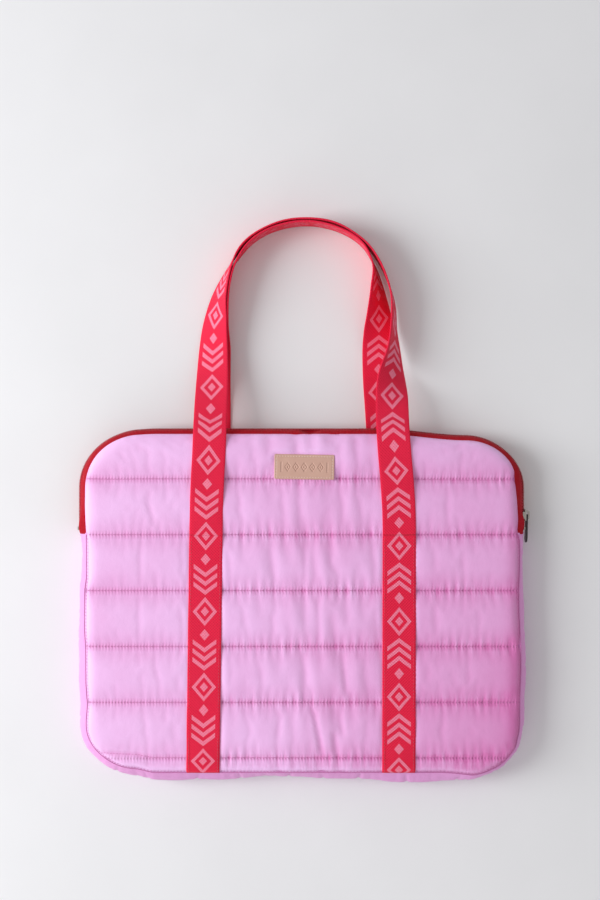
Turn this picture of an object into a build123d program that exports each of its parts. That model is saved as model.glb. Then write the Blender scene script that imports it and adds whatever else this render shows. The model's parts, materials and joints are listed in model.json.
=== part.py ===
from build123d import *

import math
import os

# Quilted laptop sleeve lying on its back: two padded panels joined by a side gusset below and a
# three-sided zip above, with a webbing handle sewn to each panel.
# X runs across the sleeve, Y up it towards the handles, Z out of its front face. The origin is the
# middle of the back face, on the surface that the sleeve lies on. All sizes are in millimetres.

# Driving dimensions
BODY_WIDTH = 402.0
BODY_HEIGHT = 316.0
BODY_DEPTH = 31.0
CORNER_RADIUS = 52.0
GUSSET_BULGE = 6.0
FOLD_Y = 64.0

# Layers of a quilted panel, from the outside in
SHELL = 1.0
WADDING = 4.0
FOAM = 2.0
LINING = 0.5

# Clearance between pieces that move against each other
GAP = 0.4

# Webbing of the straps and handles
WEB_WIDTH = 30.0
WEB_THICK = 1.6
STRAP_X = 87.0
STRAP_END_Y = -149.6
REAR_STRAP_TOP_LEFT_X = -80.5
REAR_STRAP_TOP_RIGHT_X = 75.0
REAR_HANDLE_Y = 163.5

# Zip
TAPE = 0.8
TAPE_SPLIT = 0.8
COIL_HEIGHT = 2.0
COIL_WIDTH = 2.6
COIL_ROUND = 0.6
END_STOP_SIZE = (1.0, 3.0, 2.0)
END_STOP_ABOVE_FOLD = 5.0

# Slider: top plate, under plate, wedge and the bridge that holds the pull
SLIDER_Y = 81.0
SLIDER_LENGTH = 11.0
SLIDER_WIDTH = 9.2
PLATE = 1.2
PLATE_CORNER = 2.2
UNDER_PLATE_TOP = -1.6
UNDER_PLATE_WIDTH = 7.2
WEDGE = 0.5
BRIDGE_WIDTH = 2.4
BRIDGE_REACH = 4.2
BRIDGE_RISE = 3.6
BRIDGE_BAR = 1.2

# Pull
PULL_LENGTH = 25.0
PULL_THICK = 1.5
PULL_TILT = 2.0
PULL_NECK_WALL = 1.4
PULL_TIP = 4.4
PULL_EASE = 0.5
PULL_WINDOW = (3.6, 5.4)

# Label
LABEL_SIZE = (54.0, 22.0, 1.2)
LABEL_AT = (2.5, 125.0)

# Sizes that follow from those above
ZIP_Z = BODY_DEPTH / 2
GUSSET_HALF = ZIP_Z - SHELL
GUSSET_RADIUS = (GUSSET_BULGE**2 + GUSSET_HALF**2) / (2 * GUSSET_BULGE)
SHELL_INSET = GUSSET_BULGE - 1.0
FILLING_INSET = GUSSET_BULGE + SHELL + LINING
POCKET_LOW = SHELL + WADDING + FOAM + LINING
POCKET_HIGH = BODY_DEPTH - POCKET_LOW
LEG_Z = BODY_DEPTH + 0.3 + WEB_THICK / 2
FAR = 1000.0

# X of each rear strap at its foot and at its top
REAR_STRAP_RUNS = [(-STRAP_X, REAR_STRAP_TOP_LEFT_X), (STRAP_X, REAR_STRAP_TOP_RIGHT_X)]

# The seam allowance, bound with tape, that runs round the inside of each panel
BINDING_INSET = 6.2
BINDING_LOW = 3.0
BINDING_HEIGHT = 6.0

# Stations of the front handle's centreline, from its left foot over the arch to its right foot:
# X, Y, Z and the roll in degrees. At roll 0 the webbing lies flat, and at roll 90 it stands on edge
# with its face outward. Its legs leave the front panel and come down past the sleeve's top edge.
FRONT_HANDLE = [
    (-86.0, FOLD_Y + 0.6, LEG_Z, 0),
    (-84.6, 112.0, LEG_Z, 0),
    (-82.4, 158.0, LEG_Z, 0),
    (-81.8, 178.0, 29.6, 3),
    (-81.2, 204.0, 19.6, 12),
    (-80.8, 231.0, 12.8, 26),
    (-78.8, 259.0, 12.5, 43),
    (-73.5, 286.0, 15.0, 65),
    (-62.5, 314.0, 16.0, 84),
    (-47.5, 332.5, 16.0, 88),
    (-23.0, 346.0, 16.0, 88),
    (4.0, 350.0, 16.0, 88),
    (32.0, 345.5, 16.0, 87),
    (56.0, 331.0, 16.0, 87),
    (71.5, 311.0, 16.2, 86),
    (80.0, 290.0, 16.8, 84),
    (84.0, 269.0, 17.5, 79),
    (84.6, 248.0, 17.5, 74),
    (83.6, 226.0, 18.5, 57),
    (82.0, 206.0, 22.5, 30),
    (81.6, 186.0, 28.6, 10),
    (82.4, 158.0, LEG_Z, 0),
    (85.6, 116.0, LEG_Z, 0),
    (88.0, FOLD_Y + 0.6, LEG_Z, 0),
]

# The rear handle lies against the inside of the front one, from the left twist to the right
# shoulder, and has its own stations for its two legs, which lie flat where the sleeve rests.
NEST_FROM, NEST_TO = 6, 13
NEST_GAP = WEB_THICK + 1.1
FLAT_Z = WEB_THICK / 2
REAR_LEFT_LEG = [
    (REAR_STRAP_TOP_LEFT_X, REAR_HANDLE_Y + GAP, FLAT_Z, 0),
    (REAR_STRAP_TOP_LEFT_X, 180.0, FLAT_Z, 0),
    (-80.5, 204.0, 1.2, 3),
    (-79.5, 232.0, 4.5, 16),
]
REAR_RIGHT_LEG = [
    (66.0, 309.5, 15.8, 82),
    (69.0, 289.0, 14.4, 64),
    (70.5, 269.0, 11.2, 44),
    (71.0, 249.0, 6.0, 20),
    (71.2, 228.0, 1.6, 3),
    (72.0, 203.0, FLAT_Z, 0),
    (REAR_STRAP_TOP_RIGHT_X - 0.5, 180.0, FLAT_Z, 0),
    (REAR_STRAP_TOP_RIGHT_X, REAR_HANDLE_Y + GAP, FLAT_Z, 0),
]
SECTIONS_PER_SPAN = 2


def outline(inset):
    """The sleeve's plan outline, drawn in from the widest line of the gusset."""
    return RectangleRounded(BODY_WIDTH - 2 * inset, BODY_HEIGHT - 2 * inset, CORNER_RADIUS - inset)


def slab(inset, low, high):
    return Pos(0, 0, low) * extrude(outline(inset), amount=high - low)


def ring(outer_inset, inner_inset, low, high):
    return slab(outer_inset, low, high) - slab(inner_inset, low, high)


def below_fold(shape):
    return shape & Pos(0, FOLD_Y - GAP / 2 - FAR / 2, 0) * Box(FAR, FAR, FAR)


def above_fold(shape):
    return shape & Pos(0, FOLD_Y + GAP / 2 + FAR / 2, 0) * Box(FAR, FAR, FAR)


def mirrored_front(shape):
    """The same layer of the front panel, from a layer of the back panel."""
    return Pos(0, 0, BODY_DEPTH) * mirror(shape, about=Plane.XY)


# ---- Quilted panels ----


def strap_plan(foot_x, top_x, low_y, high_y, clearance):
    """A strap's outline in plan, widened by a clearance."""
    half = WEB_WIDTH / 2 + clearance
    low, high = low_y - clearance, high_y
    corners = [(foot_x - half, low), (foot_x + half, low), (top_x + half, high), (top_x - half, high)]
    return make_face(Polyline(*corners, close=True))


def front_grooves(wall):
    """The grooves that the straps press into the front panel, widened by a wall."""
    depth = WEB_THICK + wall
    plans = [strap_plan(x, x, STRAP_END_Y, FOLD_Y, GAP + wall) for x in (-STRAP_X, STRAP_X)]
    return [extrude(plan, amount=depth) for plan in plans]


def back_grooves(wall):
    depth = WEB_THICK + GAP + wall
    plans = [strap_plan(*run, STRAP_END_Y, REAR_HANDLE_Y, GAP + wall) for run in REAR_STRAP_RUNS]
    return [extrude(plan, amount=depth) for plan in plans]


def panel_shell(grooves):
    """Outer fabric, pressed in along the straps."""
    shell = slab(SHELL_INSET, 0, SHELL)
    for walled in grooves(SHELL):
        shell += walled & slab(FILLING_INSET, 0, SHELL + WADDING)
    for groove in grooves(0):
        shell -= groove
    return shell


def panel_wadding(grooves):
    wadding = slab(FILLING_INSET, SHELL, SHELL + WADDING)
    for walled in grooves(SHELL):
        wadding -= walled
    return wadding


def panel_foam():
    return slab(FILLING_INSET, SHELL + WADDING, SHELL + WADDING + FOAM)


def panel_lining():
    return slab(FILLING_INSET, POCKET_LOW - LINING, POCKET_LOW)


def seam_binding():
    return ring(BINDING_INSET, FILLING_INSET, BINDING_LOW, BINDING_LOW + BINDING_HEIGHT)


# ---- Gusset and zip ----


def bulge(height, thickness=0.0):
    """Inset of the gusset's curve at a height above or below the zip's middle."""
    radius = GUSSET_RADIUS - thickness
    return GUSSET_RADIUS - math.sqrt(radius**2 - height**2)


def side_path(upper):
    """The U that the zip, or the gusset, follows round the outline."""
    half, top = BODY_WIDTH / 2, BODY_HEIGHT / 2 * (1 if upper else -1)
    turn = CORNER_RADIUS * (1 if upper else -1)
    start_y = FOLD_Y + (GAP if upper else -GAP) / 2
    bend = CORNER_RADIUS * (1 - math.sqrt(0.5))
    bend_y = bend * (1 if upper else -1)
    left = Line((-half, start_y), (-half, top - turn))
    straight = half - CORNER_RADIUS
    left_turn = ThreePointArc((-half, top - turn), (bend - half, top - bend_y), (-straight, top))
    across = Line((-straight, top), (straight, top))
    right_turn = ThreePointArc((straight, top), (half - bend, top - bend_y), (half, top - turn))
    right = Line((half, top - turn), (half, start_y))
    return Pos(0, 0, ZIP_Z) * Wire([left, left_turn, across, right_turn, right])


def wall_profile(low, high, outer, inner):
    """A strip of the bulged side wall, between two heights and two depths into the wall."""
    middle = (low + high) / 2
    ends = [(bulge(low, outer), low), (bulge(middle, outer), middle), (bulge(high, outer), high)]
    backs = [(bulge(low, inner), low), (bulge(middle, inner), middle), (bulge(high, inner), high)]
    return [
        ThreePointArc(*ends),
        Line(ends[2], backs[2]),
        ThreePointArc(*backs[::-1]),
        Line(backs[0], ends[0]),
    ]


def along_side(edges, upper):
    """Sweeps a profile, whose x is the inset and y the height, round the upper or lower U."""
    start_y = FOLD_Y + (GAP if upper else -GAP) / 2
    plane = Plane(origin=(-BODY_WIDTH / 2, start_y, ZIP_Z), x_dir=(1, 0, 0), z_dir=(0, -1, 0))
    return sweep(plane * make_face(edges), path=side_path(upper))


def gusset_shell():
    return along_side(wall_profile(-GUSSET_HALF, GUSSET_HALF, 0, SHELL), upper=False)


def gusset_lining():
    high = POCKET_HIGH - ZIP_Z + WADDING
    return along_side(wall_profile(-high, high, SHELL, SHELL + LINING), upper=False)


def zip_tape(side):
    """One zip tape. The rear one is notched where the rear handle's straps pass under it."""
    low, high = sorted((side * TAPE_SPLIT, side * GUSSET_HALF))
    tape = along_side(wall_profile(low, high, 0, TAPE), upper=True)
    if side < 0:
        for groove in back_grooves(0):
            tape -= groove
    return tape


def zip_coil(side):
    """One half of the coil, as the plain bar that its turns fill, parted where the slider's wedge is."""
    profile = RectangleRounded(COIL_HEIGHT, COIL_WIDTH, COIL_ROUND)
    placed = Pos(-COIL_HEIGHT / 2, side * COIL_WIDTH / 2) * profile
    apart = WEDGE + GAP
    opened = slider_box(-1, COIL_HEIGHT + 1, -SLIDER_LENGTH, WEDGE_HIGH + GAP, -apart, apart)
    return along_side(placed.edges(), upper=True) - opened


def zip_end_stops():
    """A metal clip on each tape at each end of the zip."""
    out = BODY_WIDTH / 2 + COIL_HEIGHT + END_STOP_SIZE[0] / 2
    stops = []
    for side in (-1, 1):
        for half in (-1, 1):
            middle = Pos(side * out, FOLD_Y + END_STOP_ABOVE_FOLD, ZIP_Z + half * COIL_WIDTH / 2)
            stops.append(middle * fillet(Box(*END_STOP_SIZE).edges().filter_by(Axis.X), 0.4))
    return Compound(children=stops)


# ---- Slider and pull: u is out of the zip, v along it towards the closed side, w across it ----

CHANNEL_HIGH = COIL_HEIGHT + 0.3
FLANGE_INNER = COIL_WIDTH + 0.4
FLANGE_SHORTER = 2.4
PULL_AXIS_U = CHANNEL_HIGH + PLATE + 1.2
WEDGE_LOW = 0.4 - SLIDER_LENGTH / 2
WEDGE_HIGH = 3.0 - SLIDER_LENGTH / 2


def in_slider(u, v, w):
    """A place given by the slider's own directions."""
    return (BODY_WIDTH / 2 + u, SLIDER_Y + v, ZIP_Z + w)


def slider_box(u_low, u_high, v_low, v_high, w_low, w_high):
    middle = in_slider((u_low + u_high) / 2, (v_low + v_high) / 2, (w_low + w_high) / 2)
    return Pos(*middle) * Box(u_high - u_low, v_high - v_low, w_high - w_low)


def slider_body():
    """Top plate with its two flanges, under plate, and the wedge that joins them."""
    half, reach = SLIDER_WIDTH / 2, SLIDER_LENGTH / 2
    top = slider_box(CHANNEL_HIGH, CHANNEL_HIGH + PLATE, -reach, reach, -half, half)
    top = fillet(top.edges().filter_by(Axis.X), PLATE_CORNER)
    for side in (-1, 1):
        low, high = sorted((side * FLANGE_INNER, side * half))
        top += slider_box(GAP, CHANNEL_HIGH, FLANGE_SHORTER - reach, reach - FLANGE_SHORTER, low, high)
    under_half = UNDER_PLATE_WIDTH / 2
    under = slider_box(UNDER_PLATE_TOP - PLATE, UNDER_PLATE_TOP, -reach, reach, -under_half, under_half)
    under = fillet(under.edges().filter_by(Axis.X), PLATE_CORNER)
    wedge = slider_box(UNDER_PLATE_TOP, CHANNEL_HIGH, WEDGE_LOW, WEDGE_HIGH, -WEDGE, WEDGE)
    return top + under + wedge


def slider_bridge():
    """The arch over the top plate that the pull's crossbar turns under."""
    base = CHANNEL_HIGH + PLATE
    half = BRIDGE_WIDTH / 2
    arch = slider_box(base, base + BRIDGE_RISE, -BRIDGE_REACH, BRIDGE_REACH, -half, half)
    crown = arch.edges().filter_by(Axis.Z).group_by(Axis.X)[-1]
    arch = fillet(crown, PLATE_CORNER)
    inner_reach = BRIDGE_REACH - BRIDGE_BAR
    under = slider_box(base, base + BRIDGE_RISE - BRIDGE_BAR, -inner_reach, inner_reach, -half, half)
    under = fillet(under.edges().filter_by(Axis.Z).group_by(Axis.X)[-1], PLATE_CORNER - 1.0)
    return arch - under


def pull_tab():
    """Flat pull with a rounded tip, and a window whose end is the crossbar under the bridge."""
    window_width, window_length = PULL_WINDOW
    bar = PULL_THICK / 2
    neck = window_width / 2 + PULL_NECK_WALL
    shoulder = -window_length - 1.0
    tip = PULL_TIP - PULL_LENGTH
    plate = make_face(
        [
            Polyline((-neck, bar), (-neck, shoulder), (-PULL_TIP, tip)),
            RadiusArc((-PULL_TIP, tip), (PULL_TIP, tip), -PULL_TIP),
            Polyline((PULL_TIP, tip), (neck, shoulder), (neck, bar), (-neck, bar)),
        ]
    )
    window = Pos(0, -bar - window_length / 2) * Rectangle(window_width, window_length)
    flat = extrude(plate - window, amount=PULL_THICK / 2, both=True)
    tab = fillet(flat.faces().sort_by(Axis.Z)[-1].outer_wire().edges(), PULL_EASE)
    # The tab is drawn with its width along X and its face up, then stood beside the zip.
    hinge = Location(in_slider(PULL_AXIS_U, 0, 0))
    stood = Rot(0, 0, -PULL_TILT) * Rot(0, 90, 0) * tab
    return hinge * stood


# ---- Webbing ----


def smooth(before, value, after, later, t):
    """Catmull-Rom value between value and after."""
    return 0.5 * (
        2 * value
        + (after - before) * t
        + (2 * before - 5 * value + 4 * after - later) * t**2
        + (3 * value - before - 3 * after + later) * t**3
    )


def place_on(stations, s):
    """The place and roll at s, which counts the stations, so that 2.5 is half way past the third."""
    k = min(int(s), len(stations) - 2)
    nearby = (max(k - 1, 0), k, k + 1, min(k + 2, len(stations) - 1))
    x, y, z, roll = (smooth(*values, s - k) for values in zip(*[stations[i] for i in nearby]))
    return Vector(x, y, z), roll


def band_section(stations, s):
    """The middle of the webbing at s, its direction across, and its direction out of its face."""
    middle, roll = place_on(stations, s)
    ahead = place_on(stations, min(s + 0.02, len(stations) - 1))[0]
    behind = place_on(stations, max(s - 0.02, 0))[0]
    tangent = (ahead - behind).normalized()
    outward = Vector(0, 0, 1).cross(tangent).normalized()
    above = tangent.cross(outward).normalized()
    turn = math.radians(roll)
    across = above * math.sin(turn) - outward * math.cos(turn)
    face = above * math.cos(turn) + outward * math.sin(turn)
    return middle, across, face


def nested_stations():
    """The rear handle's stations where it lies against the inside of the front handle."""
    found = []
    for i in range(NEST_FROM, NEST_TO + 1):
        middle, _, face = band_section(FRONT_HANDLE, i)
        inner = middle - face * NEST_GAP
        found.append((inner.X, inner.Y, inner.Z, FRONT_HANDLE[i][3]))
    return found


def handle_band(stations):
    """Webbing whose flat section follows the stations and rolls with them."""
    sections = []
    for i in range((len(stations) - 1) * SECTIONS_PER_SPAN + 1):
        middle, across, face = band_section(stations, i / SECTIONS_PER_SPAN)
        plane = Plane(origin=middle, x_dir=across, z_dir=across.cross(face))
        sections.append(plane * Rectangle(WEB_WIDTH, WEB_THICK))
    return loft(sections, ruled=True)


def front_strap(x):
    """The sewn run of the front webbing, flush with the front panel."""
    plan = strap_plan(x, x, STRAP_END_Y, FOLD_Y - GAP / 2, 0)
    return Pos(0, 0, BODY_DEPTH - WEB_THICK) * extrude(plan, amount=WEB_THICK)


def rear_strap(run):
    """The sewn run of the rear webbing, which goes on past the top edge to where the handle bends."""
    return extrude(strap_plan(*run, STRAP_END_Y, REAR_HANDLE_Y - GAP, 0), amount=WEB_THICK)


def label_patch():
    width, height, thick = LABEL_SIZE
    patch = extrude(RectangleRounded(width, height, 1.2), amount=thick)
    return Pos(*LABEL_AT, BODY_DEPTH) * patch


def sub_parts():
    """Every sub-part by name."""
    front_shell = mirrored_front(panel_shell(front_grooves))
    front_wadding = mirrored_front(panel_wadding(front_grooves))
    front_foam = mirrored_front(panel_foam())
    front_lining = mirrored_front(panel_lining())
    front_binding = mirrored_front(seam_binding())
    parts = {
        "back_shell": panel_shell(back_grooves),
        "back_wadding": panel_wadding(back_grooves),
        "back_foam_sheet": panel_foam(),
        "back_lining": panel_lining(),
        "back_seam_binding": seam_binding(),
        "gusset_shell": gusset_shell(),
        "gusset_lining": gusset_lining(),
        "rear_zip_tape": zip_tape(-1),
        "rear_zip_coil": zip_coil(-1),
        "front_zip_tape": zip_tape(1),
        "front_zip_coil": zip_coil(1),
        "zip_end_stops": zip_end_stops(),
        "slider_body": slider_body(),
        "slider_bridge": slider_bridge(),
        "pull_tab": pull_tab(),
        "label_patch": label_patch(),
        "front_handle_webbing": handle_band(FRONT_HANDLE),
        "rear_handle_webbing": handle_band(REAR_LEFT_LEG + nested_stations() + REAR_RIGHT_LEG),
    }
    for layer, shape in (
        ("shell", front_shell),
        ("wadding", front_wadding),
        ("foam_sheet", front_foam),
        ("lining", front_lining),
        ("seam_binding", front_binding),
    ):
        parts[f"lower_front_{layer}"] = below_fold(shape)
        parts[f"upper_front_{layer}"] = above_fold(shape)
    for word, run in zip(("left", "right"), REAR_STRAP_RUNS):
        parts[f"front_strap_{word}"] = front_strap(run[0])
        parts[f"rear_strap_{word}"] = rear_strap(run)
    return parts


os.makedirs("parts", exist_ok=True)
for name, shape in sub_parts().items():
    export_step(shape, f"parts/{name}.step")
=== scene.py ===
import json
import math

import bpy
import numpy as np
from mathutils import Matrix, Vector
from mathutils.geometry import delaunay_2d_cdt


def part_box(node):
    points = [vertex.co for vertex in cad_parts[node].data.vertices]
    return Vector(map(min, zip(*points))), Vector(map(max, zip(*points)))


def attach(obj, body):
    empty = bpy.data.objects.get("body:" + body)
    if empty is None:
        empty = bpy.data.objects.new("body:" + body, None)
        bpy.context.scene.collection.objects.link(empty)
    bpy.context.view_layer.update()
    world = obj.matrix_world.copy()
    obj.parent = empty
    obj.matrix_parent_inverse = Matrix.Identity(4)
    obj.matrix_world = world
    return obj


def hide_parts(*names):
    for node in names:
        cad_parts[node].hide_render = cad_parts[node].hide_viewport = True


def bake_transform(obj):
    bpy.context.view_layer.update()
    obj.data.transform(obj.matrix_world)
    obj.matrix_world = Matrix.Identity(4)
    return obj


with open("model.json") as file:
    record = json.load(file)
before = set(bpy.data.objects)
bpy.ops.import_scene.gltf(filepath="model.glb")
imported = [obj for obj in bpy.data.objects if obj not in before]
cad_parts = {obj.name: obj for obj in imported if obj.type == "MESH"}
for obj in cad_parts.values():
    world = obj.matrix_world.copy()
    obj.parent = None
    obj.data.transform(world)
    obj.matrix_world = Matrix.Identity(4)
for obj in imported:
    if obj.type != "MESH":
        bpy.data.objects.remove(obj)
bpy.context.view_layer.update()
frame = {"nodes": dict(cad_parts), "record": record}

# Quilted laptop sleeve lying on its back. Shapes are worked out in millimetres, in the frame's axes:
# X across the sleeve, Y up it towards the handles, Z out of its front face.
MM = 0.001


def node_box(*nodes):
    """Lowest and highest corners, in millimetres, of some CAD nodes together."""
    boxes = [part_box(node) for node in nodes]
    low = np.min([np.array(box[0]) for box in boxes], axis=0)
    high = np.max([np.array(box[1]) for box in boxes], axis=0)
    return low / MM, high / MM


JOINTS = {joint["name"]: joint for joint in frame["record"]["behaviour"]["joints"]}
FOLD_Y = JOINTS["flap_open"]["pos_m"][1] / MM
REAR_HINGE_Y = JOINTS["rear_handle_swing"]["pos_m"][1] / MM
DEPTH = node_box("lower_front_shell")[1][2]
HALF_WIDTH = node_box("gusset_shell")[1][0]
HALF_HEIGHT = -node_box("gusset_shell")[0][1]
PANEL_HALF_WIDTH = node_box("back_shell")[1][0]
CORNER = 52.0
MIDDLE_Z = DEPTH / 2
SIDE_HALF = MIDDLE_Z - 1.0
SEAM_INSET = HALF_WIDTH - PANEL_HALF_WIDTH + 0.4
BULGE = 6.0
BULGE_RADIUS = (BULGE**2 + SIDE_HALF**2) / (2 * BULGE)

QUILT_PITCH = 50.4
QUILT_LINES = [FOLD_Y + QUILT_PITCH * k for k in range(1, -5, -1)]
QUILT_ROWS = 22
LAYER_SPACING = QUILT_PITCH / 8
QUILT_STITCH = 2.85
VALLEY_Z = 29.0
CREST_Z = 33.0
SEAM_Z = 27.6
EDGE_ROLL = 12.0

WEB_WIDTH = 30.0
WEB_THICK = 1.5
STRAP_X = 87.0


def smoothstep(low, high, x):
    t = np.clip((x - low) / (high - low), 0, 1)
    return t * t * (3 - 2 * t)


def hump(x, middle, width):
    return np.exp(-(((x - middle) / width) ** 2))


# The front panel's right and left seams: Y, and how far to the right of its plain place each lies there.
RIGHT_SEAM = [
    (-158, 4.0), (-130, 4.2), (-112, 3.6), (-85, 2.8), (-58, 3.2), (-40, 3.0), (-4, 1.4), (14, 1.6),
    (32, 3.2), (50, 3.5), (59, 2.1), (68, -0.8), (77, 0.0), (95, -1.1), (113, -2.9), (122, -0.6),
    (131, 0.3), (158, 0.0),
]
LEFT_SEAM = [
    (-158, 0.0), (-110, -0.4), (50, -0.2), (64, 1.2), (76, 0.5), (90, 0.0), (106, 0.2), (158, 0.0),
]
# How far each whole side is drawn in, at Y.
RIGHT_IN = [
    (-150, 0.0), (-130, 1.5), (-120, 3.0), (-103, 2.4), (-85, 1.7), (-49, 1.0), (-13, 1.0), (14, 1.2),
    (32, 2.4), (50, 2.4), (59, 1.2), (68, 0.0),
]
LEFT_IN = [
    (-150, 0.0), (-125, 1.5), (-103, 2.0), (-90, 3.0), (-70, 1.6), (-40, 1.4), (-22, 0.3), (14, 0.4),
    (25, 1.9), (50, 2.0), (66, 0.0),
]
UPPER_SAG = {"right": 6.0, "left": 2.2}
LOWER_LIFT = {"right": 3.0, "left": 3.4}


def table_at(table, y):
    return np.interp(y, *np.transpose(table))


def relaxed(points):
    """Where points of the plain shape lie on the real, soft one: its upper corners sag, its lower ones
    are lifted, its sides are drawn in, and its front panel sits unevenly between the side seams."""
    x, y, z = np.asarray(points, float).T
    sag = UPPER_SAG["right"] * smoothstep(70, 150, x) + UPPER_SAG["left"] * smoothstep(-130, -175, x)
    below_handles = np.where(np.abs(x) > 100, 1, smoothstep(175, 158, y))
    down = sag * smoothstep(96, 158, y) * below_handles
    rim = smoothstep(30, 5, edge_distance(x, y, 0)) * smoothstep(16, 26, z) * smoothstep(172, 160, y)
    seam = np.where(x > 0, table_at(RIGHT_SEAM, y), table_at(LEFT_SEAM, y))
    drawn_in = np.where(x > 0, -table_at(RIGHT_IN, y), table_at(LEFT_IN, y))
    across = seam * smoothstep(120, 185, np.abs(x)) * rim + drawn_in * smoothstep(140, 195, np.abs(x))
    up = 2.3 * smoothstep(100, 150, np.abs(y)) * rim * (1 - 2.0 * smoothstep(125, 175, x) * (y < 0))
    lift = LOWER_LIFT["right"] * smoothstep(150, 170, x) + LOWER_LIFT["left"] * smoothstep(-132, -152, x)
    up += lift * smoothstep(-112, -145, y)
    return np.column_stack([x + across, y + up - down, z])


# ---- Meshes ----


def add_mesh(name, points, faces, material, uvs=None, smooth=True):
    """A mesh object from points of the plain shape, in millimetres. uvs gives one pair for each point."""
    mesh = bpy.data.meshes.new(name)
    mesh.from_pydata((relaxed(points) * MM).tolist(), [], [list(map(int, face)) for face in faces])
    mesh.validate()
    if uvs is not None:
        layer = mesh.uv_layers.new(name="UVMap")
        corners = np.zeros(len(mesh.loops), int)
        mesh.loops.foreach_get("vertex_index", corners)
        layer.data.foreach_set("uv", np.asarray(uvs, np.float32)[corners].ravel())
    mesh.polygons.foreach_set("use_smooth", [smooth] * len(mesh.polygons))
    mesh.materials.append(material)
    obj = bpy.data.objects.new(name, mesh)
    bpy.context.scene.collection.objects.link(obj)
    return obj


def grid_faces(rows, columns, close_rows=False, close_columns=False):
    """Quads of a grid of points, in row order, joined round where a direction is closed."""
    index = np.arange(rows * columns).reshape(rows, columns)
    if close_rows:
        index = np.vstack([index, index[:1]])
    if close_columns:
        index = np.hstack([index, index[:, :1]])
    quads = [index[:-1, :-1], index[:-1, 1:], index[1:, 1:], index[1:, :-1]]
    return np.stack([quad.ravel() for quad in quads], axis=1)


def tube_faces(rows, columns):
    """Faces of a strip of closed sections, with a cap at each end."""
    last = (rows - 1) * columns
    faces = grid_faces(rows, columns, close_columns=True).tolist()
    return faces + [list(range(columns))[::-1], [last + i for i in range(columns)]]


def lengths(line):
    """Distance along a line of points, to each of them."""
    return np.concatenate([[0], np.cumsum(np.linalg.norm(np.diff(line, axis=0), axis=1))])


def wave_noise(x, y, scale, seed, waves=9):
    """Smooth noise of about -1 to 1, as a sum of plane waves whose length is near scale."""
    rng = np.random.default_rng(seed)
    total = np.zeros(np.broadcast(x, y).shape)
    for _ in range(waves):
        angle, phase = rng.uniform(0, math.tau, 2)
        length = scale * rng.uniform(0.6, 1.6)
        total += np.sin((x * math.cos(angle) + y * math.sin(angle)) * math.tau / length + phase)
    return total / math.sqrt(waves)


# ---- The outline, from the left end of the fold, down and round ----


def outline_table():
    """Arc length, place and outward normal round the sleeve's widest line."""
    across, down = HALF_WIDTH - CORNER, HALF_HEIGHT - CORNER
    quarter = CORNER * math.pi / 2
    turns = np.linspace(0, 1, 41)
    rows = [(0.0, -HALF_WIDTH, FOLD_Y, -1.0, 0.0)]
    s = FOLD_Y + down
    corners = [((-across, -down), 180), ((across, -down), 270), ((across, down), 0), ((-across, down), 90)]
    for centre, start in corners:
        for t in turns:
            angle = math.radians(start + 90 * t)
            normal = (math.cos(angle), math.sin(angle))
            place = (centre[0] + CORNER * normal[0], centre[1] + CORNER * normal[1])
            rows.append((s + quarter * t, *place, *normal))
        s += quarter + (2 * down if start == 270 else 2 * across)
    s += down - FOLD_Y - 2 * across
    rows.append((s, -HALF_WIDTH, FOLD_Y, -1.0, 0.0))
    return np.array(rows)


OUTLINE = outline_table()
ROUND = OUTLINE[-1, 0]
LOWER_U = 2 * (FOLD_Y + HALF_HEIGHT - CORNER) + CORNER * math.pi + 2 * (HALF_WIDTH - CORNER)


def along(s):
    """Place and outward normal on the widest line, at arc lengths s."""
    s = np.mod(s, ROUND)
    x, y, nx, ny = (np.interp(s, OUTLINE[:, 0], OUTLINE[:, column]) for column in range(1, 5))
    return x, y, nx, ny


def bulge(h):
    """How far the side wall is drawn in at a height h from its middle."""
    return BULGE_RADIUS - np.sqrt(BULGE_RADIUS**2 - np.minimum(np.abs(h), SIDE_HALF) ** 2)


def side_points(s, h, out):
    """Points of the side wall: s along it, h above its middle, out beyond its curve."""
    x, y, nx, ny = along(s)
    inset = bulge(h) - out
    return np.stack([x - nx * inset, y - ny * inset, MIDDLE_Z + h + 0 * x], axis=-1)


def edge_distance(x, y, inset):
    """Distance inward from the outline that is drawn in by inset."""
    radius = CORNER - inset
    dx = np.abs(x) - (HALF_WIDTH - CORNER)
    dy = np.abs(y) - (HALF_HEIGHT - CORNER)
    corner = np.hypot(np.maximum(dx, 0), np.maximum(dy, 0))
    inside = np.minimum(np.maximum(dx, dy), 0)
    return radius - corner - inside


# ---- Materials ----


def srgb(red, green, blue):
    """Linear colour from 0 to 255 display values."""
    parts = [value / 255 for value in (red, green, blue)]
    return (*(part / 12.92 if part <= 0.0404 else ((part + 0.055) / 1.055) ** 2.4 for part in parts), 1.0)


def darker(colour, share):
    return (*(part * share for part in colour[:3]), 1.0)


def node_math(operation):
    return lambda value, other=0.0: value.nodes.math(operation, value, other)


class Value:
    """A number that a material's nodes work out, with ordinary arithmetic."""

    def __init__(self, nodes, socket):
        self.nodes, self.socket = nodes, socket

    def __rsub__(self, other):
        return self.nodes.math("SUBTRACT", other, self)

    def wave(self, length):
        """Sine of this distance, for waves of a length."""
        return self.nodes.math("SINE", self * (math.tau / length), 0.0)

    __add__ = node_math("ADD")
    __sub__ = node_math("SUBTRACT")
    __mul__ = node_math("MULTIPLY")
    __truediv__ = node_math("DIVIDE")
    __pow__ = node_math("POWER")
    __abs__ = node_math("ABSOLUTE")
    at_least = node_math("MAXIMUM")
    at_most = node_math("MINIMUM")
    above = node_math("GREATER_THAN")
    below = node_math("LESS_THAN")
    modulo = node_math("MODULO")
    ping_pong = node_math("PINGPONG")


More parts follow.
